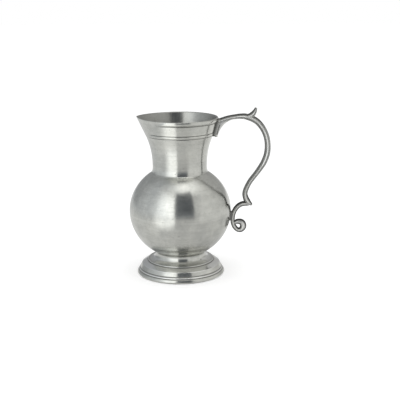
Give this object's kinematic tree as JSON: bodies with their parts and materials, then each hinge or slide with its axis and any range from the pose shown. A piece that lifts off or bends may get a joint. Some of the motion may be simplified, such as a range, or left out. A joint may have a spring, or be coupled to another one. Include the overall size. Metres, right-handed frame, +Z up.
{
  "type": "pitcher",
  "caption": "Footed metal pitcher with a round belly, flared neck with a grooved collar, pouring lip and scroll handle.",
  "frame": {"origin": "centre of the ring that the foot rests on, on the axis of the round body", "axes": "+Z up along the axis of the round body, +X towards the handle, -X towards the pouring lip"},
  "size_m": [0.1639, 0.1188, 0.1955],
  "materials": {
    "pewter": "satin turned pewter",
    "cast_pewter": "satin cast pewter with darkened flutes",
    "solder": "dull wiped solder"
  },
  "bodies": {
    "root": {"foot": "pewter", "foot_seam": "solder", "lower_bowl": "pewter", "upper_bowl": "pewter", "bowl_seam": "solder", "neck": "pewter", "neck_seam": "solder", "pouring_lip": "pewter", "lip_seam": "solder", "handle_pad": "cast_pewter", "handle": "cast_pewter", "handle_root_solder": "solder", "handle_foot_solder": "solder"}
  },
  "joints": []
}
